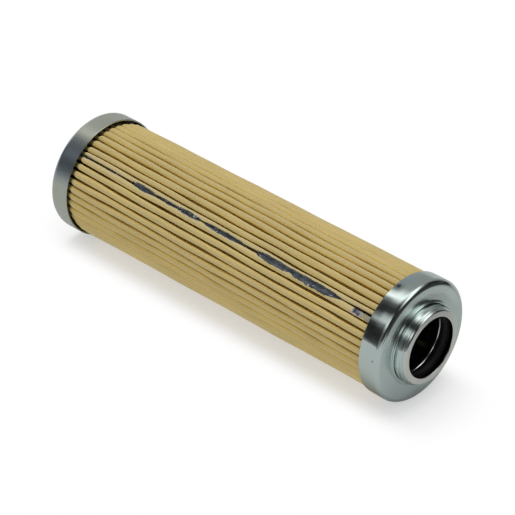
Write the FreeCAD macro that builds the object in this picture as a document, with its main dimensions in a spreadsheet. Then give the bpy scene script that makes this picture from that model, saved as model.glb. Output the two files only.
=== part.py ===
import FreeCAD, Part
import math
import os
import Sketcher

# A pleated hydraulic filter element, in millimetres. It stands on its closed end at z = 0,
# +Z runs up its axis to the open neck, and the glued seam of the paper faces -Y.

SIZES = {
    # Pressed steel end caps
    "cap_radius": 23.25,
    "cap_sheet": 0.5,
    "cap_corner": 2.0,
    "body_length": 161.5,
    "open_skirt": 8.4,
    "closed_skirt": 8.7,
    # Neck of the open end, with a step at its foot and a lip turned in at its top
    "neck_radius": 15.05,
    "neck_height": 4.65,
    "neck_corner": 1.05,
    "neck_bore": 11.6,
    "step_width": 0.4,
    "step_height": 0.85,
    "step_corner": 0.3,
    # Perforated steel core tube with a rim flared under the neck
    "tube_bore": 12.1,
    "tube_wall": 0.5,
    "rim_depth": 1.6,
    "rim_overlap": 1.0,
    "rim_bend": 0.4,
    "hole_radius": 3.0,
    "hole_pitch": 20.0,
    "hole_rows": 7,
    "hole_columns": 4,
    # Rubber ring in the neck
    "seal_cord": 3.4,
    "seal_clearance": 0.05,
    # Folded paper
    "fold_count": 44,
    "paper": 0.6,
    "tip_gap": 0.73,
    "valley_radius": 0.15,
    "tip_clearance": 0.35,
    "fold_clearance": 0.2,
    # Resin that holds the ends of the folds
    "open_resin": 2.7,
    "closed_resin": 2.2,
    # Seam, where the two edges of the sheet are glued
    "seam_slot": 0.16,
    "seam_depth": 0.9,
    "seam_sink": 0.15,
}

# Swellings of the seam adhesive: height from the closed end, half length and half width
SWELLINGS = [
    (127.0, 11.5, 1.35),
    (106.0, 8.5, 1.35),
    (82.0, 10.5, 1.05),
    (65.0, 6.0, 1.05),
    (53.5, 7.0, 0.85),
    (41.0, 6.0, 1.15),
    (24.0, 4.5, 0.7),
    (11.0, 4.0, 0.8),
]


class Size:
    """A size as a number, with the spreadsheet expression that gives it."""

    def __init__(self, value, text):
        self.value = value
        self.text = text

    def join(self, mark, other, value):
        return Size(value, "(" + self.text + " " + mark + " " + other.text + ")")

    def __add__(self, other):
        other = as_size(other)
        return self.join("+", other, self.value + other.value)

    def __sub__(self, other):
        other = as_size(other)
        return self.join("-", other, self.value - other.value)

    def __mul__(self, other):
        other = as_size(other)
        return self.join("*", other, self.value * other.value)

    def __truediv__(self, other):
        other = as_size(other)
        return self.join("/", other, self.value / other.value)

    def __radd__(self, other):
        return as_size(other) + self

    def __rsub__(self, other):
        return as_size(other) - self

    def __rmul__(self, other):
        return as_size(other) * self

    def __rtruediv__(self, other):
        return as_size(other) / self

    def __neg__(self):
        return as_size(0) - self


def as_size(number):
    return number if isinstance(number, Size) else Size(float(number), repr(float(number)))


def root(size):
    return Size(math.sqrt(size.value), "sqrt(" + size.text + ")")


def cosine(angle):
    return Size(math.cos(math.radians(angle.value)), "cos(" + angle.text + ")")


def sine(angle):
    return Size(math.sin(math.radians(angle.value)), "sin(" + angle.text + ")")


class SizeTable:
    """The spreadsheet, read as attributes that are sizes."""

    def __init__(self, doc, sizes):
        self.sheet = doc.addObject("Spreadsheet::Sheet", "sizes")
        self.known = {}
        for name, value in sizes.items():
            self.write(name, str(value), value)

    def write(self, name, content, value):
        row = len(self.known) + 1
        self.sheet.set("A%d" % row, name)
        self.sheet.set("B%d" % row, content)
        self.sheet.setAlias("B%d" % row, name)
        self.known[name] = Size(float(value), "sizes." + name)

    def keep(self, name, size):
        """Give a worked-out size a cell of its own."""
        self.write(name, "=" + size.text.replace("sizes.", ""), size.value)
        return self.known[name]

    def __getattr__(self, name):
        return self.known[name]


def bind(item, path, size):
    item.setExpression(path, as_size(size).text)


def origin_part(body, role):
    return [item for item in body.Origin.OriginFeatures if item.Role == role][0]


def new_sketch(body, name, plane):
    sketch = body.newObject("Sketcher::SketchObject", name)
    sketch.AttachmentSupport = (origin_part(body, plane), [""])
    sketch.MapMode = "FlatFace"
    return sketch


def fix_to_axis(sketch, kind, axis, edge, end, size):
    """Hold one coordinate of a sketch point, on the axis where it is zero."""
    size = as_size(size)
    if size.value == 0:
        sketch.addConstraint(Sketcher.Constraint("PointOnObject", edge, end, axis))
        return
    index = sketch.addConstraint(Sketcher.Constraint(kind, -1, 1, edge, end, size.value))
    bind(sketch, "Constraints[%d]" % index, size)


def fix_point(sketch, edge, end, x, y):
    fix_to_axis(sketch, "DistanceX", -2, edge, end, x)
    fix_to_axis(sketch, "DistanceY", -1, edge, end, y)


def arc_between(start, finish, radius, turn):
    """An arc under half a circle that turns left (1) or right (-1)."""
    chord = finish - start
    left = FreeCAD.Vector(-chord.y, chord.x, 0) * (turn / chord.Length)
    centre = (start + finish) * 0.5 + left * math.sqrt(max(radius ** 2 - (chord.Length / 2) ** 2, 0))
    return Part.Arc(start, centre - left * radius, finish)


def draw_outline(sketch, corners):
    """Draw a closed outline. A corner is (x, y), or (x, y, radius, turn) where an arc leaves it."""
    points = [FreeCAD.Vector(as_size(c[0]).value, as_size(c[1]).value, 0) for c in corners]
    edges = []
    for index, corner in enumerate(corners):
        start = points[index]
        finish = points[(index + 1) % len(points)]
        if len(corner) == 2:
            edges.append(Part.LineSegment(start, finish))
        else:
            edges.append(arc_between(start, finish, corner[2].value, corner[3]))
    sketch.addGeometry(edges, False)
    starts = []
    ends = []
    for index, corner in enumerate(corners):
        # The sketcher keeps every arc counter-clockwise, so one that turns right is held reversed.
        reversed_arc = len(corner) == 4 and corner[3] < 0
        starts.append(2 if reversed_arc else 1)
        ends.append(1 if reversed_arc else 2)
    for index, corner in enumerate(corners):
        following = (index + 1) % len(corners)
        sketch.addConstraint(
            Sketcher.Constraint("Coincident", index, ends[index], following, starts[following]))
        fix_point(sketch, index, starts[index], corner[0], corner[1])
        if len(corner) == 4:
            held = sketch.addConstraint(Sketcher.Constraint("Radius", index, corner[2].value))
            bind(sketch, "Constraints[%d]" % held, corner[2])


def new_body(doc, label):
    body = doc.addObject("PartDesign::Body", label)
    body.Label = label
    return body


def revolved(doc, label, corners):
    """A body turned about the axis of the element from its half section."""
    body = new_body(doc, label)
    sketch = new_sketch(body, label + "_section", "XZ_Plane")
    draw_outline(sketch, corners)
    turned = body.newObject("PartDesign::Revolution", label + "_turned")
    turned.Profile = sketch
    turned.ReferenceAxis = (sketch, ["V_Axis"])
    turned.Angle = 360
    body.Tip = turned
    return body


def padded(body, name, size, outline, base, turn):
    """A pad along the axis from a height, with its sketch turned about the axis."""
    sketch = new_sketch(body, name + "_section", "XY_Plane")
    sketch.AttachmentOffset = FreeCAD.Placement(
        FreeCAD.Vector(0, 0, base.value), FreeCAD.Rotation(FreeCAD.Vector(0, 0, 1), turn.value))
    bind(sketch, "AttachmentOffset.Base.z", base)
    bind(sketch, "AttachmentOffset.Rotation.Angle", turn)
    draw_outline(sketch, outline)
    pad = body.newObject("PartDesign::Pad", name)
    pad.Profile = sketch
    bind(pad, "Length", size)
    return sketch, pad


def repeat_round(body, name, feature, sketch_axis, count):
    pattern = body.newObject("PartDesign::PolarPattern", name)
    pattern.Originals = [feature]
    pattern.Axis = sketch_axis
    pattern.Angle = 360
    bind(pattern, "Occurrences", count)
    body.Tip = pattern
    return pattern


def make_closed_end_cap(doc, s):
    """A shallow cup, closed at z = 0."""
    inner = s.cap_radius - s.cap_sheet
    inner_corner = s.cap_corner - s.cap_sheet
    return revolved(doc, "closed_end_cap", [
        (0, 0),
        (s.cap_radius - s.cap_corner, 0, s.cap_corner, 1),
        (s.cap_radius, s.cap_corner),
        (s.cap_radius, s.closed_skirt),
        (inner, s.closed_skirt),
        (inner, s.cap_corner, inner_corner, -1),
        (s.cap_radius - s.cap_corner, s.cap_sheet),
        (0, s.cap_sheet),
    ])


def make_open_end_cap(doc, s):
    """A shallow cup upside down, drawn up into the neck, whose lip turns in over the seal."""
    inner = s.cap_radius - s.cap_sheet
    inner_corner = s.cap_corner - s.cap_sheet
    face = s.body_length
    under = s.body_length - s.cap_sheet
    shoulder = s.body_length - s.cap_corner
    step = s.neck_radius + s.step_width
    neck_inner = s.neck_radius - s.cap_sheet
    lip = s.body_length + s.neck_height
    lip_start = s.neck_radius - s.neck_corner
    return revolved(doc, "open_end_cap", [
        (s.cap_radius, face - s.open_skirt),
        (s.cap_radius, shoulder, s.cap_corner, 1),
        (s.cap_radius - s.cap_corner, face),
        (step, face),
        (step, face + s.step_height - s.step_corner, s.step_corner, 1),
        (step - s.step_corner, face + s.step_height),
        (s.neck_radius, face + s.step_height),
        (s.neck_radius, lip - s.neck_corner, s.neck_corner, 1),
        (lip_start, lip),
        (s.neck_bore, lip),
        (s.neck_bore, lip - s.cap_sheet),
        (lip_start, lip - s.cap_sheet, s.neck_corner - s.cap_sheet, -1),
        (neck_inner, lip - s.neck_corner),
        (neck_inner, under),
        (s.cap_radius - s.cap_corner, under, inner_corner, -1),
        (inner, shoulder),
        (inner, face - s.open_skirt),
    ])


def make_core_tube(doc, s):
    """The tube stands on the closed cap, and its rim flares out under the open cap."""
    outer = s.tube_bore + s.tube_wall
    rim = s.body_length - s.rim_depth
    rim_radius = s.neck_radius + s.rim_overlap
    bend = s.rim_bend + s.tube_wall
    body = revolved(doc, "core_tube", [
        (s.tube_bore, s.cap_sheet),
        (outer, s.cap_sheet),
        (outer, rim - bend, s.rim_bend, -1),
        (s.tube_bore + bend, rim - s.tube_wall),
        (rim_radius, rim - s.tube_wall),
        (rim_radius, rim),
        (s.tube_bore + bend, rim, bend, 1),
        (s.tube_bore, rim - bend),
    ])
    middle = (s.cap_sheet + rim) / 2
    step = 180 / s.hole_columns
    rows = int(s.hole_rows.value)
    for first, turn in ((0, as_size(0)), (1, step)):
        name = "holes_%d" % (first + 1)
        sketch = new_sketch(body, name + "_section", "XZ_Plane")
        sketch.AttachmentOffset = FreeCAD.Placement(
            FreeCAD.Vector(0, 0, 0), FreeCAD.Rotation(FreeCAD.Vector(0, 1, 0), turn.value))
        bind(sketch, "AttachmentOffset.Rotation.Angle", turn)
        for number, row in enumerate(range(first, rows, 2)):
            height = middle + s.hole_pitch * (row - (rows - 1) / 2)
            circle = Part.Circle(
                FreeCAD.Vector(0, height.value, 0), FreeCAD.Vector(0, 0, 1), s.hole_radius.value)
            sketch.addGeometry(circle, False)
            fix_point(sketch, number, 3, 0, height)
            held = sketch.addConstraint(Sketcher.Constraint("Radius", number, s.hole_radius.value))
            bind(sketch, "Constraints[%d]" % held, s.hole_radius)
        cut = body.newObject("PartDesign::Pocket", name)
        cut.Profile = sketch
        cut.Type = "ThroughAll"
        repeat_round(body, name + "_round", cut, (origin_part(body, "Z_Axis"), [""]), s.hole_columns)
    return body


def make_neck_seal(doc, s):
    """A rubber ring that lies on the rim of the core tube inside the neck."""
    seal = doc.addObject("Part::Torus", "neck_seal")
    seal.Label = "neck_seal"
    bind(seal, "Radius1", s.neck_radius - s.cap_sheet - s.seal_clearance - s.seal_cord / 2)
    bind(seal, "Radius2", s.seal_cord / 2)
    bind(seal, "Placement.Base.z", s.body_length - s.rim_depth + s.seal_cord / 2)
    return seal


def make_open_end_resin(doc, s):
    """Resin under the open cap, round the flared rim of the core tube."""
    under = s.body_length - s.cap_sheet
    rim = s.body_length - s.rim_depth
    tube = s.tube_bore + s.tube_wall
    bend = s.rim_bend + s.tube_wall
    rim_radius = s.neck_radius + s.rim_overlap
    return revolved(doc, "open_end_resin", [
        (tube, under - s.open_resin),
        (s.cap_radius - s.cap_sheet, under - s.open_resin),
        (s.cap_radius - s.cap_sheet, s.body_length - s.cap_corner, s.cap_corner - s.cap_sheet, 1),
        (s.cap_radius - s.cap_corner, under),
        (s.neck_radius - s.cap_sheet, under),
        (s.neck_radius - s.cap_sheet, rim),
        (rim_radius, rim),
        (rim_radius, rim - s.tube_wall),
        (s.tube_bore + bend, rim - s.tube_wall, s.rim_bend, 1),
        (tube, rim - bend),
    ])


def make_closed_end_resin(doc, s):
    """Resin on the floor of the closed cap, round the foot of the core tube."""
    top = s.cap_sheet + s.closed_resin
    tube = s.tube_bore + s.tube_wall
    return revolved(doc, "closed_end_resin", [
        (tube, s.cap_sheet),
        (s.cap_radius - s.cap_corner, s.cap_sheet, s.cap_corner - s.cap_sheet, 1),
        (s.cap_radius - s.cap_sheet, s.cap_corner),
        (s.cap_radius - s.cap_sheet, top),
        (tube, top),
    ])


class Fold:
    """Where one fold of the paper lies, in a frame whose +X runs out through its tip."""

    def __init__(self, s):
        keep = s.keep
        self.half_pitch = keep("half_pitch", 180 / s.fold_count)
        self.valley_inside = keep("valley_inside", s.valley_radius + s.paper)
        tube = s.tube_bore + s.tube_wall
        self.valley_centre = keep("valley_centre", tube + s.fold_clearance + self.valley_inside)
        self.outside = keep("paper_radius", s.cap_radius - s.cap_sheet - s.tip_clearance)
        slope = sine(self.half_pitch)
        self.tip_radius = keep("tip_radius", (self.outside * slope - s.tip_gap / 2) / (1 + slope))
        self.tip_inside = keep("tip_inside", self.tip_radius - s.paper)
        self.tip_centre = keep("tip_centre", self.outside - self.tip_radius)
        self.valley_x = keep("valley_x", self.valley_centre * cosine(self.half_pitch))
        self.valley_y = keep("valley_y", self.valley_centre * sine(self.half_pitch))
        run_x = self.valley_x - self.tip_centre
        span = keep("fold_span", root(run_x * run_x + self.valley_y * self.valley_y))
        along_x = keep("along_x", run_x / span)
        along_y = keep("along_y", self.valley_y / span)
        lean = keep("flank_lean", (self.tip_radius + s.valley_radius) / span)
        level = keep("flank_level", root(1 - lean * lean))
        self.normal_x = keep("normal_x", lean * along_x + level * along_y)
        self.normal_y = keep("normal_y", lean * along_y - level * along_x)
        self.bottom_of_valley = self.valley_centre - self.valley_inside
        self.bottom = keep("media_bottom", s.cap_sheet + s.closed_resin)
        self.top = keep("media_top", s.body_length - s.cap_sheet - s.open_resin)

    def surface(self, tip, valley):
        """Half of one face of the paper, from the bottom of the valley to the crest of the tip."""
        floor = self.valley_centre - valley
        return [
            (floor * cosine(self.half_pitch), floor * sine(self.half_pitch)),
            (self.valley_x - valley * self.normal_x, self.valley_y - valley * self.normal_y),
            (self.tip_centre + tip * self.normal_x, tip * self.normal_y),
            (self.tip_centre + tip, as_size(0)),
        ]


def fold_outline(fold, s):
    """The closed section of one fold, from the middle of one valley to the next."""
    out = fold.surface(fold.tip_radius, s.valley_radius)
    inside = fold.surface(fold.tip_inside, fold.valley_inside)

    def below(point):
        return (point[0], -point[1])

    return [
        below(out[0]) + (s.valley_radius, -1),
        below(out[1]),
        below(out[2]) + (fold.tip_radius, 1),
        out[3] + (fold.tip_radius, 1),
        out[2],
        out[1] + (s.valley_radius, -1),
        out[0],
        inside[0] + (fold.valley_inside, 1),
        inside[1],
        inside[2] + (fold.tip_inside, -1),
        inside[3] + (fold.tip_inside, -1),
        below(inside[2]),
        below(inside[1]) + (fold.valley_inside, 1),
        below(inside[0]),
    ]


def make_pleated_media(doc, s, fold):
    """One sheet of paper in folds, cut through the valley where its two edges are glued."""
    body = new_body(doc, "pleated_media")
    length = fold.top - fold.bottom
    sketch, pad = padded(body, "one_fold", length, fold_outline(fold, s), fold.bottom,
                         fold.half_pitch - 90)
    repeat_round(body, "all_folds", pad, (origin_part(body, "Z_Axis"), [""]), s.fold_count)
    doc.recompute()
    slot = new_sketch(body, "seam_slot_section", "XY_Plane")
    slot.AttachmentOffset = FreeCAD.Placement(
        FreeCAD.Vector(0, 0, fold.top.value), FreeCAD.Rotation(FreeCAD.Vector(0, 0, 1), -90))
    bind(slot, "AttachmentOffset.Base.z", fold.top)
    start = fold.valley_centre - fold.valley_inside * 1.5
    half = s.seam_slot / 2
    draw_outline(slot, [
        (start, -half),
        (fold.valley_centre, -half),
        (fold.valley_centre, half),
        (start, half),
    ])
    cut = body.newObject("PartDesign::Pocket", "seam_slot")
    cut.Profile = slot
    cut.Type = "ThroughAll"
    body.Tip = cut
    return body


def make_seam_adhesive(doc, s, fold, media):
    """Adhesive between the two edges of the sheet, swelling out of the valley here and there."""
    blank = new_body(doc, "seam_blank")
    middle = fold.tip_radius - s.paper / 2
    tip_x = fold.tip_centre * cosine(fold.half_pitch)
    tip_y = fold.tip_centre * sine(fold.half_pitch)
    crest_x = (fold.tip_centre + middle) * cosine(fold.half_pitch)
    crest_y = (fold.tip_centre + middle) * sine(fold.half_pitch)
    floor = fold.valley_centre - fold.valley_inside + s.paper / 2
    half = s.paper / 2
    padded(blank, "seam_blank_pad", fold.top - fold.bottom, [
        (floor, -half),
        (tip_x, middle - tip_y, middle, -1),
        (crest_x, -crest_y),
        (crest_x, crest_y, middle, -1),
        (tip_x, tip_y - middle),
        (floor, half),
    ], fold.bottom, as_size(-90))
    groove = doc.addObject("Part::Cut", "seam_groove")
    groove.Base = blank
    groove.Tool = media
    reach = fold.outside - s.seam_depth
    strip = doc.addObject("Part::Box", "seam_strip")
    bind(strip, "Length", fold.tip_radius * 2)
    bind(strip, "Width", reach - fold.bottom_of_valley)
    bind(strip, "Height", fold.top - fold.bottom)
    bind(strip, "Placement.Base.x", -fold.tip_radius)
    bind(strip, "Placement.Base.y", -reach)
    bind(strip, "Placement.Base.z", fold.bottom)
    shapes = [strip]
    for number, (height, half_length, half_width) in enumerate(SWELLINGS, 1):
        swelling = doc.addObject("Part::Ellipsoid", "swelling_%d" % number)
        swelling.Radius1 = half_length
        bind(swelling, "Radius2", s.seam_depth + s.seam_sink)
        swelling.Radius3 = half_width
        swelling.Angle1 = -90
        swelling.Angle2 = 90
        swelling.Angle3 = 360
        swelling.Placement = FreeCAD.Placement(
            FreeCAD.Vector(0, 0, height), FreeCAD.Rotation(FreeCAD.Vector(0, 0, 1), 90))
        bind(swelling, "Placement.Base.y", s.seam_sink - reach)
        shapes.append(swelling)
    fill = doc.addObject("Part::MultiFuse", "seam_fill")
    fill.Shapes = shapes
    seam = doc.addObject("Part::Common", "seam_adhesive")
    seam.Label = "seam_adhesive"
    seam.Base = groove
    seam.Tool = fill
    return seam


def main():
    doc = FreeCAD.newDocument("filter_element")
    s = SizeTable(doc, SIZES)
    fold = Fold(s)
    doc.recompute()
    media = make_pleated_media(doc, s, fold)
    parts = [
        make_closed_end_cap(doc, s),
        make_open_end_cap(doc, s),
        make_core_tube(doc, s),
        make_neck_seal(doc, s),
        make_open_end_resin(doc, s),
        make_closed_end_resin(doc, s),
        media,
        make_seam_adhesive(doc, s, fold, media),
    ]
    doc.recompute()
    for item in doc.Objects:
        if "Invalid" in item.State or "Error" in item.State:
            raise RuntimeError(item.Label + " did not recompute")
    for part in parts:
        if part.Shape.isNull() or not part.Shape.isValid():
            raise RuntimeError(part.Label + " has no valid shape")
    os.makedirs("parts", exist_ok=True)
    for part in parts:
        print(part.Label, len(part.Shape.Solids), round(part.Shape.Volume, 1))
        part.Shape.exportStep(os.path.join("parts", part.Label + ".step"))


main()
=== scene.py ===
import math
import random

import bpy
from mathutils import Matrix, Vector


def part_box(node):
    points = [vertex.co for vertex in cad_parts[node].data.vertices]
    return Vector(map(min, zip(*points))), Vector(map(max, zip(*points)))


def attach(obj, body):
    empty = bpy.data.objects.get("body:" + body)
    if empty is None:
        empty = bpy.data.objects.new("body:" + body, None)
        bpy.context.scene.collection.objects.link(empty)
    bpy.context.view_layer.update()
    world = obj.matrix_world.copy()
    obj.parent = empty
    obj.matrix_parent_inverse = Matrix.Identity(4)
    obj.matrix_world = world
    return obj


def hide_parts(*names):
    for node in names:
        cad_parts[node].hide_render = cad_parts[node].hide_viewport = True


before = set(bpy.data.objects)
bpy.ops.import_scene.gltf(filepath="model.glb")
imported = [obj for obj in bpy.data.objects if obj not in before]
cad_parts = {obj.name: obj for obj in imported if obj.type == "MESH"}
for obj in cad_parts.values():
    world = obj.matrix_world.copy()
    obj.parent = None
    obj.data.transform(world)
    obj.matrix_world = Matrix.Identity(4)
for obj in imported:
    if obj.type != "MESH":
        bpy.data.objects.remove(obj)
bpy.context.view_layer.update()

# Sizes of the real element, in millimetres, and angles in degrees
MM = 0.001
CAP_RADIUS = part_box("open_end_cap")[1].x / MM
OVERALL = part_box("open_end_cap")[1].z / MM
NECK_HEIGHT = 4.65
BODY = OVERALL - NECK_HEIGHT
SHEET = 0.5
CAP_CORNER = 2.0
OPEN_SKIRT = 8.4
CLOSED_SKIRT = 8.7
EDGE_BEVEL = 0.12
# The open cap's skirt draws in a little towards its edge, and both caps are slightly out of round
EDGE_DROP = 0.11
EDGE_LENGTH = 4.6
OUT_OF_ROUND = 0.008

# The step and the groove at the neck's foot, then the tapered neck with its creases and its lip
STEP_WIDTH = 0.72
STEP_HEIGHT = 0.85
STEP_CORNER = 0.3
STEP_FOOT = 0.22
GROOVE_DEPTH = 0.35
GROOVE_HEIGHT = 0.45
GROOVE_CORNER = 0.12
NECK_RADIUS = 15.05
NECK_CORNER = 0.80
NECK_TAPER = 0.55
NECK_BORE = 11.6
CREASE_HEIGHTS = (2.15, 2.75, 3.5)
CREASE_DEPTH = 0.085
CREASE_REACH = 0.13
LIP_SLOPE = 1.2

# The pack of folds. The closed cap pinches them where they go into it, but less on the side towards
# which the pack sits a little off that cap's middle. Between two heights near that cap they are darkened
# to a resin colour, as painted shade where they go into it.
PAPER_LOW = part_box("pleated_media")[0].z / MM
PAPER_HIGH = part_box("pleated_media")[1].z / MM
PAPER_RADIUS = 22.4
PAPER = 0.6
TIP_GAP = 0.78
VALLEY_CENTRE = 13.55
VALLEY_BEND = 0.45
FOLDS = 44
PINCH = 1.25
PINCH_LENGTH = 2.4
PINCH_SPARED = 0.6
CLOSE_SIDE = 0.0
CAP_RIM_SHADE = (9.8, 9.15)

# The seam valley faces -Y. The folds beside it, counted from the seam, are uneven in width.
SEAM_ANGLE = -90.0
WIDTHS_BEFORE_SEAM = (5.4, 7.2, 8.5, 7.7, 8.2, 8.1, 8.4, 9.9)
WIDTHS_AFTER_SEAM = (8.0, 7.9, 8.6, 7.9, 8.4, 7.8, 9.3, 9.1)
OTHER_WIDTHS_VARY = 0.07
TWIST_AT_OPEN_END = 3.3
TWIST_PER_RADIUS = -1.07

# The rubber ring takes its size from its node's box
SEAL_LOW, SEAL_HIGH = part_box("neck_seal")
SEAL_CORD = (SEAL_HIGH.z - SEAL_LOW.z) / MM
SEAL_RADIUS = SEAL_HIGH.x / MM - SEAL_CORD / 2
SEAL_LEVEL = (SEAL_HIGH.z + SEAL_LOW.z) / 2 / MM

# The element lies on this side of its caps in the main view, so that way is down there
GROUND_ANGLE = 46.0
GROUND = Vector((math.cos(math.radians(GROUND_ANGLE)), math.sin(math.radians(GROUND_ANGLE)), 0.0))
ALONG = Vector((-GROUND.y, GROUND.x, 0.0))

# A full turn in radians, near enough for the waves of the caps and the folds
TURN = 6.28


def metres(lengths):
    return [length * MM for length in lengths]


def twist(height):
    """How far the pack has turned at a height, in degrees."""
    return TWIST_AT_OPEN_END + TWIST_PER_RADIUS * (BODY - height) / CAP_RADIUS


# One class for shader arithmetic and one method for every other node

class Value:
    """An output of a node. Python's arithmetic on it adds Math nodes to the same tree."""

    def __init__(self, shader, socket):
        self.shader = shader
        self.socket = socket

    def math(self, operation, first, second):
        return self.shader.node("ShaderNodeMath", {"operation": operation}, {0: first, 1: second})

    def __add__(self, other):
        return self.math("ADD", self, other)

    def __radd__(self, other):
        return self.math("ADD", other, self)

    def __sub__(self, other):
        return self.math("SUBTRACT", self, other)

    def __rsub__(self, other):
        return self.math("SUBTRACT", other, self)

    def __mul__(self, other):
        return self.math("MULTIPLY", self, other)

    def __rmul__(self, other):
        return self.math("MULTIPLY", other, self)

    def __truediv__(self, other):
        return self.math("DIVIDE", self, other)

    def __rtruediv__(self, other):
        return self.math("DIVIDE", other, self)


class Shader:
    """A node tree of a material or of the world, filled from nothing."""

    def __init__(self, tree):
        self.tree = tree
        self.tree.nodes.clear()

    def node(self, kind, settings=None, sockets=None, output=0):
        made = self.tree.nodes.new(kind)
        for name, setting in (settings or {}).items():
            if name == "stops":
                self.set_stops(made.color_ramp, setting)
            else:
                setattr(made, name, setting)
        for name, value in (sockets or {}).items():
            if isinstance(value, Value):
                self.tree.links.new(value.socket, made.inputs[name])
            else:
                made.inputs[name].default_value = value
        return Value(self, made.outputs[output]) if made.outputs else made

    def set_stops(self, ramp, stops):
        while len(ramp.elements) < len(stops):
            ramp.elements.new(0.5)
        for element, (place, colour) in zip(ramp.elements, stops):
            element.position = place
            element.color = (*colour, 1.0)

    def position(self):
        return self.node("ShaderNodeTexCoord", output="Object")

    def axes(self, vector):
        return [self.node("ShaderNodeSeparateXYZ", sockets={0: vector}, output=k) for k in range(3)]

    def dot(self, vector, way):
        return self.node("ShaderNodeVectorMath", {"operation": "DOT_PRODUCT"}, {0: vector, 1: way}, "Value")

    def stretched(self, vector, x, y, z):
        return self.node("ShaderNodeVectorMath", {"operation": "MULTIPLY"}, {0: vector, 1: (x, y, z)})

    def angle(self, y, x):
        return self.node("ShaderNodeMath", {"operation": "ARCTAN2"}, {0: y, 1: x})

    def root(self, value):
        return self.node("ShaderNodeMath", {"operation": "SQRT"}, {0: value})

    def size(self, value):
        return self.node("ShaderNodeMath", {"operation": "ABSOLUTE"}, {0: value})

    def sine(self, value):
        return self.node("ShaderNodeMath", {"operation": "SINE"}, {0: value})

    def noise(self, place, scale, detail=2.0, roughness=0.5):
        values = {"Vector": place, "Scale": scale, "Detail": detail, "Roughness": roughness}
        return self.node("ShaderNodeTexNoise", sockets=values)

    def mix(self, share, first, second):
        return self.node("ShaderNodeMix", {"data_type": "RGBA"}, {0: share, 6: first, 7: second}, 2)

    def ramp(self, value, stops):
        return self.node("ShaderNodeValToRGB", {"stops": stops}, {0: value})

    def between(self, value, none, full):
        """A smooth step from 0 at none to 1 at full, whichever of the two is the larger."""
        sockets = {"Value": value, "From Min": none, "From Max": full}
        return self.node("ShaderNodeMapRange", {"interpolation_type": "SMOOTHSTEP"}, sockets)

    def bump(self, height, strength, distance):
        sockets = {"Height": height, "Strength": strength, "Distance": distance}
        return self.node("ShaderNodeBump", sockets=sockets)

    def surface(self, **inputs):
        named = {name.replace("_", " "): value for name, value in inputs.items()}
        body = self.node("ShaderNodeBsdfPrincipled", sockets=named)
        self.node("ShaderNodeOutputMaterial", sockets={"Surface": body})

    def blend(self, share, first, second):
        return self.node("ShaderNodeMixShader", sockets={0: share, 1: first, 2: second})

    def matt(self, colour):
        return self.node("ShaderNodeBsdfDiffuse", sockets={"Color": colour})

    def glowing(self, strength):
        return self.node("ShaderNodeEmission", sockets={"Strength": strength})

    def backdrop(self, colour, strength):
        return self.node("ShaderNodeBackground", sockets={"Color": colour, "Strength": strength})

    def ray(self, kind):
        return self.node("ShaderNodeLightPath", output=kind)


def new_material(name):
    material = bpy.data.materials.new(name)
    material.use_nodes = True
    return material, Shader(material.node_tree)


# Smears and marks are ovals: middle and half width in degrees, then middle and half length in
# millimetres up the axis. An edge's two values say where the oval is nothing and where it is full.
PLAIN_EDGE = (1.25, 0.75)


def smear(shader, angle, height, oval, ragged, edge=PLAIN_EDGE):
    """1 inside an oval with a ragged edge."""
    degrees, half_degrees, middle, half_length = oval
    across = (angle - math.radians(degrees)) / math.radians(half_degrees)
    along = (height - middle * MM) / (half_length * MM)
    return shader.between(across * across + along * along + ragged, *edge)


# Paper

# Distances from the axis, in millimetres, between which the paper's tone changes: from its flanks,
# brightened as painted light, to the crests, then darker and darker down the folds to the sheet's inner
# side as painted shade
CREST = (21.1, 22.4)
PAINTED_SHADE_DOWN_FOLDS = (
    ((19.0, 20.5), (0.70, 0.53, 0.20, 1.0)),
    ((14.5, 17.0), (0.16, 0.12, 0.045, 1.0)),
    ((13.3, 14.2), (0.030, 0.024, 0.012, 1.0)),
)
# Painted light: the paper glows faintly low on the folds. The glow grows and fades between these distances.
FOLD_GLOW_GROWS = (19.6, 21.0)
FOLD_GLOW_FADES = (21.4, 22.3)
PAINTED_FOLD_GLOW = (0.045, 0.032, 0.010, 1.0)
# The paper's fine crepe: radians per metre along the folds and per radian round the pack
CREPE_ALONG = 9500.0
CREPE_ROUND = 70.0
# The paper is rubbed pale this near to the seam, in degrees
RUBBED_BESIDE_SEAM = (5.4, 3.8)
# Smears beside the seam under the open cap
GLUE_FILM = (-84.2, 3.6, 150.9, 4.6)
LAVENDER_SMEAR = (-83.9, 4.2, 146.4, 3.0)
NAVY_SMEAR = (-84.2, 2.0, 146.0, 1.8)
# The painted shade at the closed cap reaches less far up where its blotches are strong and on the side that
# sits closer, by these lengths in metres. That side begins at the axis and is full at a distance from it.
RIM_SHADE_BLOTCHES = 0.0010
RIM_SHADE_SPARED = 0.0006
RIM_SHADE_SIDE = (0.0, 0.020)


def paper_tone(shader, place, depth, fibres):
    """Tan on the crests, brighter on the flanks as painted light, and darker down the folds as painted
    shade.
    """
    clouds = shader.noise(place, 70.0, 3.0)
    streaks = shader.noise(shader.stretched(place, 1.0, 1.0, 0.25), 420.0, 2.0)
    crest = shader.mix(clouds, (0.47, 0.39, 0.165, 1.0), (0.53, 0.405, 0.195, 1.0))
    crest = shader.mix(shader.between(streaks, 0.40, 0.75) * 0.4, crest, (0.44, 0.36, 0.13, 1.0))
    # Painted light: the flanks are brighter than the crests to make up for the shade between the folds.
    flank_painted_light = shader.mix(clouds, (0.78, 0.61, 0.20, 1.0), (0.84, 0.64, 0.22, 1.0))
    tan = shader.mix(shader.between(depth, *metres(CREST)), flank_painted_light, crest)
    # Painted shade: darker and darker tones down the folds towards the sheet's inner side.
    for distances, tone in PAINTED_SHADE_DOWN_FOLDS:
        tan = shader.mix(shader.between(depth, *metres(distances)), tone, tan)
    return shader.mix(shader.between(fibres, 0.45, 0.75) * 0.30, tan, (0.36, 0.27, 0.11, 1.0))


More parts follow.
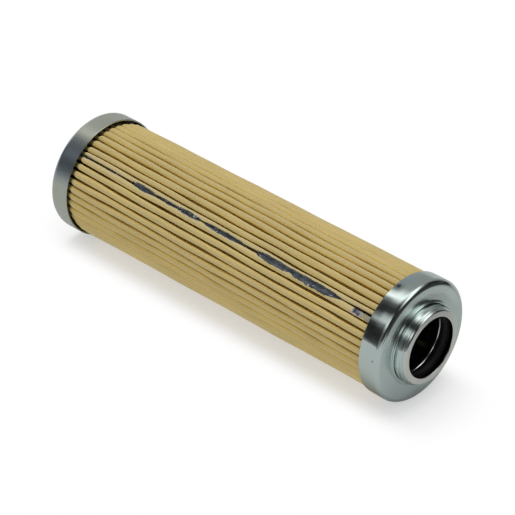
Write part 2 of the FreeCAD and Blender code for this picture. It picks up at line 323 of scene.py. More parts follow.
def seam_stains(shader, tan, angle, height, fibres, blotches):
    """The grey glue film, the lavender smear and the navy one in it."""
    ragged = (blotches - 0.5) * 9.0
    film = smear(shader, angle, height, GLUE_FILM, ragged * 0.4)
    grimy = shader.between(fibres, 0.50, 0.62)
    grime = shader.mix(grimy, (0.29, 0.31, 0.24, 1.0), (0.10, 0.11, 0.09, 1.0))
    tan = shader.mix(film * 0.85, tan, grime)
    lavender = smear(shader, angle, height, LAVENDER_SMEAR, ragged)
    tan = shader.mix(lavender * 0.75, tan, (0.33, 0.33, 0.42, 1.0))
    navy = smear(shader, angle, height, NAVY_SMEAR, ragged)
    worn = shader.between(blotches, 0.40, 0.54)
    ink = shader.mix(worn, (0.014, 0.016, 0.038, 1.0), (0.22, 0.22, 0.33, 1.0))
    return shader.mix(navy * 0.9, tan, ink)


def painted_fold_glow(shader, place, depth, rim_shade):
    """Painted light: a faint emission glow low on the outer side of the folds, clear of the painted shade
    at the closed cap.
    """
    fold_glow = shader.between(depth, *metres(FOLD_GLOW_GROWS)) - shader.between(depth, *metres(FOLD_GLOW_FADES))
    normal = shader.node("ShaderNodeNewGeometry", output="Normal")
    outward = shader.dot(normal, shader.stretched(place, 1.0, 1.0, 0.0))
    fold_glow = fold_glow * (1.0 - rim_shade) * shader.between(outward, 0.0, 0.002)
    return shader.mix(fold_glow, (0.0, 0.0, 0.0, 1.0), PAINTED_FOLD_GLOW)


def filter_paper():
    """Crisp tan paper with a fine cross crepe, stained beside the seam, with painted light and shade on its
    folds and painted shade at the closed cap.
    """
    material, shader = new_material("filter_paper")
    place = shader.position()
    x, y, height = shader.axes(place)
    angle = shader.angle(y, x)
    depth = shader.root(x * x + y * y)
    fibres = shader.noise(place, 3200.0, 3.0, 0.6)
    crepe = shader.noise(shader.stretched(place, 1.0, 1.0, 0.6), 700.0, 2.0, 0.5)
    ridges = shader.sine((height * CREPE_ALONG + angle * CREPE_ROUND) + crepe * 4.0)
    blotches = shader.noise(place, 520.0, 3.0, 0.65)
    tan = paper_tone(shader, place, depth, fibres)
    tan = shader.mix(shader.between(ridges, -0.6, 1.0) * 0.30, tan, (0.60, 0.49, 0.26, 1.0))
    seam = height * (-TWIST_PER_RADIUS / CAP_RADIUS / MM) + (SEAM_ANGLE + twist(0.0))
    off_seam = shader.size(angle - seam * math.radians(1.0))
    lightened = shader.between(off_seam, *(math.radians(degrees) for degrees in RUBBED_BESIDE_SEAM))
    tan = shader.mix(lightened * 0.20, tan, (0.62, 0.56, 0.38, 1.0))
    tan = seam_stains(shader, tan, angle, height, fibres, blotches)
    close_way = (math.cos(math.radians(CLOSE_SIDE)), math.sin(math.radians(CLOSE_SIDE)), 0.0)
    close = shader.between(shader.dot(place, close_way), *RIM_SHADE_SIDE)
    rim_shade_line = height + blotches * RIM_SHADE_BLOTCHES + close * RIM_SHADE_SPARED
    rim_shade = shader.between(rim_shade_line, *metres(CAP_RIM_SHADE))
    # Painted shade: the paper turns a dark resin colour near the closed cap's rim.
    tan = shader.mix(rim_shade * 0.80, tan, (0.060, 0.060, 0.042, 1.0))
    relief = shader.bump(ridges * 0.35 + crepe * 0.6 + fibres * 0.5, 0.6, 0.00018)
    glow = painted_fold_glow(shader, place, depth, rim_shade)
    shader.surface(Base_Color=tan, Roughness=0.88, Normal=relief, Specular_IOR_Level=0.2,
                   Emission_Color=glow, Emission_Strength=1.0)
    return material


# Caps

# Marks on the caps: place, raggedness, soft edge, strength and colour. They are a dark speck, a blue
# mark and a bluish haze on the open cap's skirt, and a wide blue-grey haze on the closed cap.
CAP_MARKS = (
    ((-51.5, 0.9, 159.3, 0.4), 0.0, PLAIN_EDGE, 0.7, (0.10, 0.09, 0.07, 1.0)),
    ((-122.6, 2.4, 154.5, 0.75), 1.5, PLAIN_EDGE, 0.85, (0.10, 0.12, 0.19, 1.0)),
    ((-133.0, 9.0, 155.0, 2.4), 1.5, PLAIN_EDGE, 0.35, (0.42, 0.56, 0.68, 1.0)),
    ((-83.0, 17.0, 4.4, 12.0), 1.5, (2.6, 0.0), 0.75, (0.25, 0.32, 0.40, 1.0)),
)
# Heights in millimetres between which the lip's wear sets in, and the flat face begins and ends
WORN_LIP = (OVERALL - 0.35, OVERALL - 0.05)
FACE_BEGINS = (BODY - 0.10, BODY - 0.02)
FACE_ENDS = (BODY + 0.02, BODY + 0.12)
# The flat face is made less metallic on its upper side in the main view, clear of the neck and of the
# corner, so that side reads lighter: painted light. These are in cap radii.
PAINTED_LIGHT_FROM_NECK = (0.745, 0.83)
PAINTED_LIGHT_TO_CORNER = (0.930, 0.895)
PAINTED_LIGHT_UPWARDS = (0.10, 0.50)
PAINTED_LIGHT_METAL = 0.47
PALER_SKIN = 0.92


def zinc_steel(name, shine, metal, tint):
    """Pressed zinc-plated steel. shine is its roughness, metal how much of its bright skin is left."""
    material, shader = new_material(name)
    place = shader.position()
    x, y, height = shader.axes(place)
    angle = shader.angle(y, x)
    radii = shader.root(x * x + y * y) / (CAP_RADIUS * MM)
    clouds = shader.noise(place, 90.0, 4.0, 0.6)
    fine = shader.noise(place, 900.0, 3.0, 0.6)
    skin = shader.mix(clouds, (*tint, 1.0), (*(PALER_SKIN * part for part in tint), 1.0))
    worn_lip = shader.between(height, *metres(WORN_LIP))
    skin = shader.mix(worn_lip, skin, (0.64, 0.645, 0.60, 1.0))
    for oval, ragged, edge, strength, colour in CAP_MARKS:
        mark = smear(shader, angle, height, oval, (clouds - 0.5) * ragged, edge)
        skin = shader.mix(mark * strength, skin, colour)
    drawn = shader.noise(shader.stretched(place, 1.0, 1.0, 0.4), 160.0, 2.0, 0.5)
    lines = shader.noise(shader.stretched(place, 1.0, 1.0, 0.10), 950.0, 2.0, 0.5)
    relief = shader.bump(drawn + lines * 0.14 + fine * 0.05, 0.08, 0.0004)
    face = shader.between(height, *metres(FACE_BEGINS)) - shader.between(height, *metres(FACE_ENDS))
    rough = clouds * 0.05 + fine * 0.03 + (face + worn_lip) * 0.16 + shine
    # Painted light: less metal on the face's upper side makes it lighter there, as the light falls.
    up = shader.dot(place, -GROUND) / (CAP_RADIUS * MM)
    lightened = face * shader.between(radii, *PAINTED_LIGHT_FROM_NECK) * shader.between(radii, *PAINTED_LIGHT_TO_CORNER)
    lightened = lightened * shader.between(up, *PAINTED_LIGHT_UPWARDS)
    shader.surface(Base_Color=skin, Metallic=metal - lightened * PAINTED_LIGHT_METAL, Roughness=rough, Normal=relief)
    return material


# Other finishes

def bare_steel():
    """The core tube's bright steel."""
    material, shader = new_material("tube_steel")
    place = shader.position()
    clouds = shader.noise(place, 160.0, 3.0)
    skin = shader.mix(clouds, (0.62, 0.63, 0.61, 1.0), (0.74, 0.75, 0.73, 1.0))
    relief = shader.bump(shader.noise(place, 500.0, 2.0), 0.15, 0.0002)
    shader.surface(Base_Color=skin, Metallic=1.0, Roughness=clouds * 0.08 + 0.10, Normal=relief)
    return material


def black_rubber():
    """Dull black rubber with a fine grain."""
    material, shader = new_material("seal_rubber")
    grain = shader.noise(shader.position(), 700.0, 3.0)
    skin = shader.mix(grain, (0.007, 0.007, 0.007, 1.0), (0.016, 0.016, 0.016, 1.0))
    relief = shader.bump(grain, 0.2, 0.00008)
    shader.surface(Base_Color=skin, Roughness=grain * 0.15 + 0.45, Normal=relief, Specular_IOR_Level=0.16)
    return material


def potting_resin():
    """Dark resin in the caps, round the ends of the folds."""
    material, shader = new_material("potting_resin")
    clouds = shader.noise(shader.position(), 220.0, 3.0)
    skin = shader.mix(clouds, (0.030, 0.034, 0.026, 1.0), (0.060, 0.062, 0.045, 1.0))
    relief = shader.bump(clouds, 0.4, 0.0003)
    shader.surface(Base_Color=skin, Roughness=clouds * 0.2 + 0.35, Normal=relief)
    return material


def seam_glue():
    """Glossy dark glue with pale specks, which gather in patches."""
    material, shader = new_material("seam_glue")
    place = shader.position()
    clouds = shader.noise(place, 420.0, 3.0, 0.6)
    skin = shader.ramp(clouds, [(0.32, (0.022, 0.028, 0.036)), (0.66, (0.075, 0.088, 0.104))])
    speck_grain = shader.noise(place, 1300.0, 2.0, 0.5)
    patches = shader.noise(place, 260.0, 1.0)
    # Pale specks where the fine grain and the patches peak together.
    specks = shader.between(speck_grain + patches * 0.5, 0.925, 0.98)
    skin = shader.mix(specks * 0.8, skin, (0.60, 0.65, 0.72, 1.0))
    relief = shader.bump(clouds + speck_grain * 0.2, 0.5, 0.00035)
    shader.surface(Base_Color=skin, Roughness=0.30, Normal=relief)
    return material


# Meshes. Outlines are in millimetres, and the meshes in metres.

SHARP = 40.0


def new_object(name, data):
    made = bpy.data.objects.new(name, data)
    bpy.context.scene.collection.objects.link(made)
    return made


def new_piece(name, points, faces, material, sharp=None):
    mesh = bpy.data.meshes.new(name)
    mesh.from_pydata([Vector(point) * MM for point in points], [], faces)
    mesh.polygons.foreach_set("use_smooth", [True] * len(mesh.polygons))
    if sharp is not None:
        mesh.set_sharp_from_angle(angle=math.radians(sharp))
    mesh.update()
    mesh.materials.append(material)
    return new_object(name, mesh)


def at_angle(radius, degrees):
    return Vector((radius * math.cos(math.radians(degrees)), radius * math.sin(math.radians(degrees))))


def arc(centre, radius, start, end, steps):
    """Points of an arc, both ends among them, anticlockwise where end is more than start."""
    turns = (start + (end - start) * k / steps for k in range(steps + 1))
    return [tuple(Vector(centre) + at_angle(radius, turn)) for turn in turns]


def turned(name, outline, material, steps=240, uneven=None):
    """A closed outline of (radius, height) turned round the axis. uneven moves each point a little."""
    points = []
    for step in range(steps):
        degrees = 360.0 * step / steps
        for radius, height in outline:
            if uneven:
                radius, height = uneven(radius, height, degrees)
            flat = at_angle(radius, degrees)
            points.append((flat.x, flat.y, height))
    count = len(outline)
    faces = []
    for step in range(steps):
        near, far = step * count, (step + 1) % steps * count
        for k in range(count):
            after = (k + 1) % count
            faces.append((near + k, far + k, far + after, near + after))
    piece = new_piece(name, points, faces, material, SHARP)
    piece.modifiers.new("even_shading", "WEIGHTED_NORMAL").keep_sharp = True
    return piece


def pressed_waves(phases):
    """Out-of-round of a pressed cap: slow inward waves in its radius, which a mirror skin shows."""
    def uneven(radius, height, degrees):
        turn = math.radians(degrees)
        wave = sum((math.sin(turn * count + phase) - 1.0) / count for count, phase in enumerate(phases, 2))
        return radius + OUT_OF_ROUND * wave * radius / CAP_RADIUS, height
    return uneven


# Steps of the neck's rounded and creased wall, and of the skirt's slow curve towards its edge
NECK_STEPS = 20
SKIRT_STEPS = 8


def neck_wall(base):
    """Outer wall of the neck from its base up to the top, tapered, creased and rounded at its corner."""
    rise = OVERALL - base
    wall = []
    for k in range(1, NECK_STEPS + 1):
        share = math.sin(math.radians(90.0 * k / NECK_STEPS))
        height = OVERALL - rise * (1.0 - share)
        creased = any(abs(height - BODY - level) < CREASE_REACH for level in CREASE_HEIGHTS)
        crease = CREASE_DEPTH if creased else 0.0
        inward = NECK_TAPER * share + NECK_CORNER * (1.0 - math.sqrt(1.0 - share * share))
        wall.append((NECK_RADIUS - crease - inward, height))
    return wall


def open_cap():
    """Skirt, face, stepped neck and turned-in lip, all drawn from one sheet."""
    bend = (CAP_RADIUS - CAP_CORNER, BODY - CAP_CORNER)
    step = NECK_RADIUS + STEP_WIDTH
    step_top = BODY + STEP_HEIGHT
    groove_top = BODY + STEP_HEIGHT + GROOVE_HEIGHT
    groove = NECK_RADIUS - GROOVE_DEPTH
    groove_edge = (NECK_RADIUS - GROOVE_CORNER, groove_top + GROOVE_CORNER)
    outline = arc(bend, CAP_CORNER, 0, 90, 12)
    outline += arc((step + STEP_FOOT, BODY + STEP_FOOT), STEP_FOOT, 270, 180, 4)
    outline += arc((step - STEP_CORNER, step_top - STEP_CORNER), STEP_CORNER, 0, 90, 5)
    outline += [(groove, step_top), (groove, groove_top)]
    outline += arc(groove_edge, GROOVE_CORNER, 270, 360, 3)
    outline += neck_wall(groove_top + GROOVE_CORNER)
    lip = SHEET / 2
    outline += arc((NECK_BORE + lip, OVERALL - lip), lip, 90, 270, 8)
    inside = NECK_RADIUS - SHEET
    outline += [(inside - NECK_TAPER - NECK_CORNER, OVERALL - SHEET)]
    outline += [(inside - NECK_TAPER, OVERALL - SHEET - LIP_SLOPE)]
    outline += [(inside, groove_top + GROOVE_CORNER - SHEET), (inside, BODY - SHEET)]
    outline += arc(bend, CAP_CORNER - SHEET, 90, 0, 6)
    edge = BODY - OPEN_SKIRT
    drawn_in = CAP_RADIUS - EDGE_DROP
    outline += [(drawn_in - SHEET, edge + EDGE_BEVEL), (drawn_in - SHEET + EDGE_BEVEL, edge)]
    outline += [(drawn_in - EDGE_BEVEL, edge)]
    for k in range(SKIRT_STEPS + 1):
        share = 1.0 - k / SKIRT_STEPS
        height = edge + EDGE_BEVEL + EDGE_LENGTH * (1.0 - share)
        outline.append((CAP_RADIUS - EDGE_DROP * share * share, height))
    return outline


def closed_cap():
    """A plain pressed cup, its floor flat and closed but for a pinhole on the axis."""
    pinhole = 0.02
    edge = CLOSED_SKIRT
    inside = CAP_RADIUS - SHEET
    bend = (CAP_RADIUS - CAP_CORNER, CAP_CORNER)
    outline = [(pinhole, 0.0)]
    outline += arc(bend, CAP_CORNER, 270, 360, 12)
    outline += [(CAP_RADIUS, edge - EDGE_BEVEL), (CAP_RADIUS - EDGE_BEVEL, edge)]
    outline += [(inside + EDGE_BEVEL, edge), (inside, edge - EDGE_BEVEL)]
    outline += arc(bend, CAP_CORNER - SHEET, 360, 270, 6)
    outline += [(pinhole, SHEET)]
    return outline


def fold_edges():
    """Angles of the 44 valleys before the twist, once round from the seam."""
    named = sum(WIDTHS_BEFORE_SEAM) + sum(WIDTHS_AFTER_SEAM)
    others = FOLDS - len(WIDTHS_BEFORE_SEAM) - len(WIDTHS_AFTER_SEAM)
    draw = random.Random(11)
    rest = [1.0 + draw.uniform(-OTHER_WIDTHS_VARY, OTHER_WIDTHS_VARY) for _ in range(others)]
    share = (360.0 - named) / sum(rest)
    widths = list(WIDTHS_AFTER_SEAM) + [width * share for width in rest]
    widths += reversed(WIDTHS_BEFORE_SEAM)
    edges = [SEAM_ANGLE]
    for width in widths:
        edges.append(edges[-1] + width)
    return edges


# How strongly a fold's tip sways sideways and in and out, and how the gap beside it swells, each
# with the length of its longest wave
LEAN, LEAN_WAVE = 0.16, 62.0
REACH_SWAY, REACH_WAVE = 0.08, 48.0
GAP_SWELL, GAP_WAVE = 0.22, 37.0
# The tips stay this far inside the pack's radius, and their gaps widen this much where pinched
TIP_CLEARANCE = 0.10
GAP_PINCHED = 0.3


class Fold:
    """One fold between two valleys: how its tip leans and swells along its length."""

    def __init__(self, low, high, draw):
        self.middle = (low + high) / 2
        self.half = (high - low) / 2
        self.waves = [(draw.uniform(0, TURN), draw.uniform(0.6, 1.0)) for _ in range(6)]

    def swing(self, height, first, length):
        total = 0.0
        for k in range(2):
            phase, strength = self.waves[first + k]
            total += strength * math.sin(TURN * height / (length / (1 + 1.3 * k)) + phase) / (1 + k)
        return total

    def tip(self, height):
        """Tip's centre radius, its angle and its own radius at a height."""
        lean = LEAN * self.swing(height, 0, LEAN_WAVE)
        reach = PAPER_RADIUS - TIP_CLEARANCE + REACH_SWAY * self.swing(height, 2, REACH_WAVE)
        pinched = min(1.0, max(0.0, 1.0 - (height - CLOSED_SKIRT) / PINCH_LENGTH)) ** 2
        off_side = math.radians(self.middle - CLOSE_SIDE)
        reach -= PINCH * pinched * (1.0 - PINCH_SPARED * max(0.0, math.cos(off_side)))
        share = self.half * FOLDS / 180.0
        swell = 1.0 + GAP_SWELL * self.swing(height, 4, GAP_WAVE) + GAP_PINCHED * pinched
        gap = TIP_GAP * share * swell
        sine = math.sin(math.radians(self.half))
        radius = (reach * sine - gap / 2) / (1 + sine)
        return reach - radius, self.middle + math.degrees(lean / reach), radius


def folds_of_pack():
    edges = fold_edges()
    draw = random.Random(5)
    return [Fold(low, high, draw) for low, high in zip(edges, edges[1:])]


# Steps of a fold's tip, wall and valley, and stations up the paper: close together where the folds
# are pinched, then evenly spaced
TIP_STEPS, WALL_STEPS, VALLEY_STEPS = 6, 2, 3
NEAR_STATIONS = (8.0, 8.7, 8.95, 9.25, 9.6, 10.0, 10.5, 11.1, 12.0)
EVEN_STATIONS = 40


def nearest_turn(degrees, other):
    """The same direction as degrees, written within half a turn of other."""
    return other + (degrees - other + 180.0) % 360.0 - 180.0


def half_fold(tip_centre, tip_radius, valley_centre, side, offset):
    """Points of one wall from the tip's top to the valley's floor, offset from the sheet's middle."""
    middle = tip_radius - PAPER / 2
    way = valley_centre - tip_centre
    lean = math.asin((middle + VALLEY_BEND) / way.length)
    start = math.degrees(math.atan2(way.y, way.x)) + side * (90.0 - math.degrees(lean))
    top = math.degrees(math.atan2(tip_centre.y, tip_centre.x))
    start = nearest_turn(start, top)
    tip = [tip_centre + at_angle(middle + offset, top + (start - top) * k / TIP_STEPS)
           for k in range(TIP_STEPS + 1)]
    floor = math.degrees(math.atan2(valley_centre.y, valley_centre.x)) + 180.0
    begin = nearest_turn(start + 180.0, floor)
    valley = [valley_centre + at_angle(VALLEY_BEND - offset, begin + (floor - begin) * k / VALLEY_STEPS)
              for k in range(VALLEY_STEPS + 1)]
    wall = [tip[-1].lerp(valley[0], k / WALL_STEPS) for k in range(1, WALL_STEPS)]
    return tip + wall + valley


def sheet_outline(folds, height, offset):
    """The whole sheet's line round the axis at one height, from seam to seam."""
    line = []
    turned_by = twist(height)
    for fold in folds:
        centre_radius, degrees, radius = fold.tip(height)
        tip_centre = at_angle(centre_radius, degrees + turned_by)
        low = at_angle(VALLEY_CENTRE, fold.middle - fold.half + turned_by)
        high = at_angle(VALLEY_CENTRE, fold.middle + fold.half + turned_by)
        rising = half_fold(tip_centre, radius, low, -1, offset)
        falling = half_fold(tip_centre, radius, high, 1, offset)
        line += list(reversed(rising))[1 if line else 0:]
        line += falling[1:]
    return line


def pleated_sheet(folds, material):
    """One folded sheet with its true thickness, open along the seam."""
    last = NEAR_STATIONS[-1]
    heights = [PAPER_LOW, *NEAR_STATIONS]
    heights += [last + (PAPER_HIGH - last) * k / EVEN_STATIONS for k in range(1, EVEN_STATIONS + 1)]
    levels = len(heights) - 1
    points = []
    for height in heights:
        outside = sheet_outline(folds, height, PAPER / 2)
        inside = sheet_outline(folds, height, -PAPER / 2)
        points += [(point.x, point.y, height) for point in outside + list(reversed(inside))]
    count = len(points) // len(heights)
    faces = []
    for level in range(levels):
        low, high = level * count, (level + 1) * count
        for k in range(count):
            after = (k + 1) % count
            faces.append((low + k, low + after, high + after, high + k))
    top = levels * count
    for k in range(count // 2 - 1):
        across = count - 1 - k
        faces.append((k, across, across - 1, k + 1))
        faces.append((top + k, top + k + 1, top + across - 1, top + across))
    return new_piece("pleated_paper", points, faces, material)


# The glue's blots along the seam: middle and half length in cap radii from the open face, then half
# width and sideways shift in degrees
BLOTS = (
    (1.50, 0.50, 3.75, 0.95), (2.38, 0.36, 3.5, 0.6), (3.42, 0.44, 2.4, 0.3), (4.18, 0.26, 2.5, 0.0),
    (4.66, 0.28, 1.75, 0.25), (5.18, 0.26, 2.8, 0.1), (5.92, 0.20, 1.1, 0.1), (6.46, 0.15, 1.5, 0.0),
)
# Between the blots it is this thin, in degrees to each side, and spreads this much wider over one cap
# radius, beginning this many cap radii from the open face
GLUE_THIN = 0.6
GLUE_SPREAD = 1.8
SPREAD_BEGINS = 2.9
# It ends this far from the open face, after a taper of this length, in cap radii
GLUE_END = 0.92
GLUE_TAPER = 0.30
# Waves of its ragged edges: radians per cap radius, share of the phase, and strength
RAGGED_EDGE = ((23.0, 1.0, 1.0), (51.0, 2.1, 0.7), (97.0, 3.7, 0.5))
# Its foot above the paper's lower edge, its depth in the valley and the most it stands over the folds
GLUE_FOOT = 0.4
GLUE_DEPTH = 3.2
GLUE_OVER = 0.35
# Half width of its foot in the valley, in degrees
GLUE_ROOT = 0.25
# Between the folds its skin lies this deep under the crests and bulges by this share of its width, up
# to a limit. Its edges go this deep into the paper.
GLUE_DIP = 2.0
GLUE_BULGE = 0.50
GLUE_BULGE_LIMIT = 1.6
GLUE_EDGE = 0.12
# Over the folds it is a film: its least thickness, what the middle has more, and how much that swells
FILM_LEAST = 0.02
FILM_MIDDLE = 0.10
FILM_SWELL = 0.12
GLUE_ACROSS = 14
GLUE_STATIONS = 420


def glue_width(radii, side):
    """Half width of the glue in degrees on one side of the seam."""
    thin = GLUE_THIN + GLUE_SPREAD * max(0.0, min(1.0, SPREAD_BEGINS - radii))
    width = thin
    for middle, half_length, half_width, shift in BLOTS:
        share = 1.0 - ((radii - middle) / half_length) ** 2
        if share > 0.0:
            width = max(width, thin + (half_width + side * shift - thin) * share ** 0.6)
    phase = 1.3 + side
    ragged = sum(strength * math.sin(radii * pace + start * phase) for pace, start, strength in RAGGED_EDGE)
    taper = min(1.0, (radii - GLUE_END) / GLUE_TAPER)
    return width * taper ** 0.9 * (1.0 + 0.07 * ragged) + 0.05


def paper_skin(fold, degrees, height):
    """Radius of a fold's outer skin at an angle, or None beside the fold."""
    centre_radius, middle, radius = fold.tip(height)
    off = math.radians(degrees - twist(height) - middle)
    square = radius ** 2 - (centre_radius * math.sin(off)) ** 2
    if square <= 0.0:
        return None
    return centre_radius * math.cos(off) + math.sqrt(square)


def glue_radius(fold, radii, degrees, height, share, width):
    """Radius of the glue's skin, where share goes from -1 to 1 across the bead."""
    skin = paper_skin(fold, degrees, height)
    bulge = min(GLUE_BULGE * width, GLUE_BULGE_LIMIT) * (1.0 - share * share)
    full = PAPER_RADIUS - GLUE_DIP + bulge
    if abs(share) == 1.0:
        return (skin or full) - GLUE_EDGE
    swell = 0.5 + 0.5 * math.sin(radii * 9.0) * math.sin(radii * 31.0 + 1.0)
    film = FILM_LEAST + (FILM_MIDDLE + FILM_SWELL * swell) * (1.0 - abs(share) ** 3)
    radius = full if skin is None else max(full, skin + film)
    return min(radius, PAPER_RADIUS + GLUE_OVER)


def seam_bead(folds, material):
    """Glue that fills the seam valley and has run out over the shoulders of the folds beside it."""
    beside = {1: folds[0], -1: folds[-1]}
    points = []
    low = PAPER_LOW + GLUE_FOOT
    high = BODY - (GLUE_END + 0.01) * CAP_RADIUS
    depth = PAPER_RADIUS - GLUE_DEPTH
    for station in range(GLUE_STATIONS + 1):
        height = low + (high - low) * station / GLUE_STATIONS
        radii = (BODY - height) / CAP_RADIUS
        seam = SEAM_ANGLE + twist(height)
        section = []
        for k in range(GLUE_ACROSS + 1):
            share = 2.0 * k / GLUE_ACROSS - 1.0
            side = 1 if share >= 0 else -1
            width = glue_width(radii, side)
            degrees = seam + share * width
            radius = glue_radius(beside[side], radii, degrees, height, share, width)
            section.append(at_angle(radius, degrees))
        floor = [at_angle(depth, seam + GLUE_ROOT), at_angle(depth, seam - GLUE_ROOT)]
        points += [(point.x, point.y, height) for point in section + floor]
    count = GLUE_ACROSS + 3
    faces = []
    for station in range(GLUE_STATIONS):
        near, far = station * count, (station + 1) * count
        for k in range(count):
            after = (k + 1) % count
            faces.append((near + k, near + after, far + after, far + k))
    faces.append(tuple(reversed(range(count))))
    faces.append(tuple(GLUE_STATIONS * count + k for k in range(count)))
    return new_piece("seam_glue_bead", points, faces, material)


# Steps round the ring's cord, the height of its moulding lines and how much thinner the cord is made
# than its node
CORD_STEPS = 40
MOULDING_LINE = 0.03
CORD_CLEARANCE = 0.02


def rubber_ring(material):
    """Round rubber cord with the thin moulding lines of its two half moulds."""
    outline = []
    for k in range(CORD_STEPS):
        line = MOULDING_LINE if k in (0, CORD_STEPS // 2) else 0.0
        point = at_angle(SEAL_CORD / 2 - CORD_CLEARANCE + line, 360.0 * k / CORD_STEPS)
        outline.append((SEAL_RADIUS + point.x, SEAL_LEVEL + point.y))
    return turned("neck_ring", outline, material, 160)


# Pieces

zinc_bright = zinc_steel("zinc_bright", 0.04, 1.0, (0.54, 0.62, 0.595))
zinc_dull = zinc_steel("zinc_dull", 0.24, 0.94, (0.44, 0.465, 0.40))
folds = folds_of_pack()
draw_waves = random.Random(3)
open_waves = pressed_waves([draw_waves.uniform(0, TURN) for _ in range(5)])
closed_waves = pressed_waves([draw_waves.uniform(0, TURN) for _ in range(5)])

pieces = {
    "open_end_cap": (turned("open_cap", open_cap(), zinc_bright, uneven=open_waves), "zinc_steel"),
    "closed_end_cap": (turned("closed_cap", closed_cap(), zinc_dull, uneven=closed_waves), "zinc_steel"),
    "pleated_media": (pleated_sheet(folds, filter_paper()), "filter_paper"),
    "seam_adhesive": (seam_bead(folds, seam_glue()), "seam_glue"),
    "neck_seal": (rubber_ring(black_rubber()), "seal_rubber"),
}
for node, (piece, slot) in pieces.items():
    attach(piece, "root")
    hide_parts(node)

resin = potting_resin()
kept_finishes = {"core_tube": bare_steel(), "open_end_resin": resin, "closed_end_resin": resin}
for node, material in kept_finishes.items():
    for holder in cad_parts[node].material_slots:
        holder.material = material


# Ground

WHITE = (1.0, 1.0, 1.0, 1.0)
DARK_ROOM = (0.035, 0.035, 0.035, 1.0)
GROUND_SIZE = 6.0
GROUND_GAP = 0.0002
GROUND_COLOUR = (0.55, 0.55, 0.55, 1.0)
GROUND_GLOW = 0.46
# The shadow fades out between these distances beside the element's axis, in cap radii
SHADOW_END = (0.55, 1.10)
# What polished metal sees instead: a grey table, paler in front of the element than behind it. It ends
# some way above the open end, higher up in front, and further to the front it has no end. The places
# are in metres, up the axis or from behind the axis to in front of it.
TABLE_BEHIND = (0.54, 0.55, 0.55, 1.0)
TABLE_IN_FRONT = (0.64, 0.65, 0.66, 1.0)
TABLE_PALER = (-0.03, 0.03)
TABLE_END = (0.190, 0.218)
TABLE_END_RISES = (-0.03, 0.01)
TABLE_END_RISE = 0.085
TABLE_GOES_ON = (0.06, 0.12)


def pale_ground():
    """A white sheet beside the caps that keeps a faint shadow, seen from the element's side only."""
    material, shader = new_material("pale_ground")
    place = shader.position()
    height = shader.axes(place)[2]
    sideways = shader.dot(place, -ALONG)
    glow = shader.glowing(GROUND_GLOW)
    shaded = shader.node("ShaderNodeAddShader", sockets={0: shader.matt(GROUND_COLOUR), 1: glow})
    fades = metres(share * CAP_RADIUS for share in SHADOW_END)
    beside = shader.between(shader.size(sideways), *fades)
    lit = shader.blend(beside, shaded, shader.glowing(1.0))
    paler = shader.between(sideways, *TABLE_PALER)
    table = shader.blend(paler, shader.matt(TABLE_BEHIND), shader.matt(TABLE_IN_FRONT))
    edge = height - shader.between(sideways, *TABLE_END_RISES) * TABLE_END_RISE
    edge = edge - shader.between(sideways, *TABLE_GOES_ON) * 2.0
    table = shader.blend(shader.between(edge, *TABLE_END), table, shader.matt(DARK_ROOM))
    sheet = shader.blend(shader.ray("Is Glossy Ray"), lit, table)
    clear = shader.node("ShaderNodeBsdfTransparent")
    behind = shader.node("ShaderNodeNewGeometry", output="Backfacing")
    side = shader.blend(behind, sheet, clear)
    shader.node("ShaderNodeOutputMaterial", sockets={"Surface": side})
    return material


foot = GROUND * (CAP_RADIUS * MM + GROUND_GAP)
corner_signs = ((-1, -1), (-1, 1), (1, 1), (1, -1))
corners = [foot + (ALONG * a + Vector((0, 0, b))) * GROUND_SIZE / 2 for a, b in corner_signs]
ground_mesh = bpy.data.meshes.new("ground")
ground_mesh.from_pydata(corners, [], [(0, 1, 2, 3)])
ground_mesh.materials.append(pale_ground())
ground = new_object("ground", ground_mesh)


# World

AMBIENT = 0.66
# What polished metal sees round the element's axis, as angle in turns (a quarter is overhead) and
# brightness: looking far back past the closed end, back, a little back, and forward past the open end
BACK_ROOM = [
    (0.000, 0.72), (0.190, 0.79), (0.220, 0.73), (0.254, 0.53), (0.287, 0.35), (0.320, 0.17),
    (0.354, 0.07), (0.420, 0.04), (0.454, 0.12), (0.487, 0.46), (0.510, 0.75),
]
EDGE_ROOM = [
    (0.000, 0.46), (0.100, 0.41), (0.155, 0.37), (0.176, 0.18), (0.200, 0.24), (0.222, 1.15),
    (0.243, 1.75), (0.262, 0.35), (0.285, 0.08), (0.310, 0.03), (0.335, 0.04), (0.356, 0.25),
    (0.376, 0.62), (0.398, 0.07), (0.420, 0.02), (0.485, 0.035), (0.512, 0.50),
]
SIDE_ROOM = [
    (0.000, 0.46), (0.030, 0.37), (0.150, 0.41), (0.180, 0.48), (0.205, 1.00), (0.225, 1.55),
    (0.242, 1.60), (0.260, 0.80), (0.280, 0.15), (0.305, 0.040), (0.328, 0.07), (0.350, 0.66),
    (0.373, 0.92), (0.393, 0.26), (0.415, 0.05), (0.445, 0.026), (0.465, 0.035), (0.490, 0.09),
    (0.510, 0.50),
]
FRONT_ROOM = [
    (0.000, 0.03), (0.060, 0.025), (0.090, 0.05), (0.110, 0.24), (0.125, 0.48), (0.150, 1.65),
    (0.187, 1.95), (0.215, 1.35), (0.240, 0.70), (0.258, 0.28), (0.280, 0.04), (0.320, 0.04),
    (0.338, 0.35), (0.354, 0.95), (0.387, 1.15), (0.405, 0.40), (0.425, 0.13), (0.454, 0.14),
    (0.480, 0.26), (0.498, 0.46),
]
# How steeply up the axis a ray points where each next room begins and is full, and where lamps stop
EDGE_ROOM_FROM = (-0.615, -0.600)
SIDE_ROOM_FROM = (-0.562, -0.528)
FRONT_ROOM_FROM = (-0.15, 0.30)
LAMPS_STOP = (0.80, 0.93)


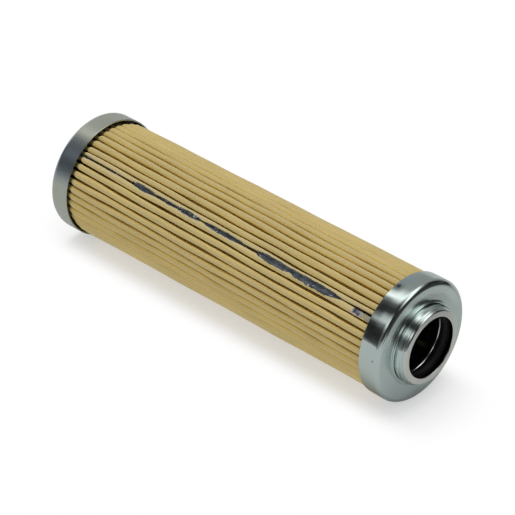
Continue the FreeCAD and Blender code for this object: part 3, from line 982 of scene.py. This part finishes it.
def studio_world():
    """White behind the element, even light on it, and a dark room with two lamps in what shines."""
    world = bpy.data.worlds.new("studio")
    world.use_nodes = True
    bpy.context.scene.world = world
    shader = Shader(world.node_tree)
    way = shader.node("ShaderNodeTexCoord", output="Generated")
    turn = shader.angle(shader.dot(way, GROUND), shader.dot(way, -ALONG)) / (2 * math.pi) + 0.5
    height = shader.axes(way)[2]
    # Below the second lamp the front room begins further back
    front = height + shader.between(turn, 0.36, 0.42) * 0.22
    next_rooms = ((EDGE_ROOM, height, EDGE_ROOM_FROM), (SIDE_ROOM, height, SIDE_ROOM_FROM),
                  (FRONT_ROOM, front, FRONT_ROOM_FROM))
    room = shader.ramp(turn, [(place, (level, level, level)) for place, level in BACK_ROOM])
    for levels, reach, begins in next_rooms:
        further = shader.ramp(turn, [(place, (level, level, level)) for place, level in levels])
        room = shader.mix(shader.between(reach, *begins), room, further)
    # Both lamps stop past the open end, the second one sooner, and only the front stays light there
    past = height + shader.between(turn, 0.26, 0.32) * 0.30 - shader.between(turn, 0.47, 0.50) * 0.50
    room = shader.mix(shader.between(past, *LAMPS_STOP), room, DARK_ROOM)
    lighting = shader.backdrop(WHITE, AMBIENT)
    lighting = shader.blend(shader.ray("Is Glossy Ray"), lighting, shader.backdrop(room, 1.0))
    lighting = shader.blend(shader.ray("Is Camera Ray"), lighting, shader.backdrop(WHITE, 1.0))
    shader.node("ShaderNodeOutputWorld", sockets={"Surface": lighting})


studio_world()


# Lamp

LAMP_POWER = 1.25
LAMP_SOFTNESS = 45.0

lamp_data = bpy.data.lights.new("overhead_lamp", "SUN")
lamp_data.energy = LAMP_POWER
lamp_data.angle = math.radians(LAMP_SOFTNESS)
lamp = new_object("overhead_lamp", lamp_data)
lamp.visible_glossy = False
lamp_way = GROUND - ALONG * 0.12 + Vector((0, 0, 0.10))
lamp.rotation_mode = "QUATERNION"
lamp.rotation_quaternion = lamp_way.to_track_quat("-Z", "Y")


# Camera

FRAME_PIXELS = 515
FOCAL_PIXELS = 2793.7
SENSOR = 36.0
CAMERA_PLACE = Vector((0.04069, -0.82659, 0.65358))
CAMERA_AIM = Vector((0.00071, 0.00003, 0.08456))

camera_data = bpy.data.cameras.new("camera")
camera_data.sensor_width = SENSOR
camera_data.lens = FOCAL_PIXELS / FRAME_PIXELS * SENSOR
camera = new_object("camera", camera_data)
back = (CAMERA_PLACE - CAMERA_AIM).normalized()
right = back.cross(GROUND).normalized()
up = back.cross(right)
camera.matrix_world = Matrix.Translation(CAMERA_PLACE) @ Matrix((right, up, back)).transposed().to_4x4()
bpy.context.scene.camera = camera
bpy.context.scene.view_settings.view_transform = "Standard"
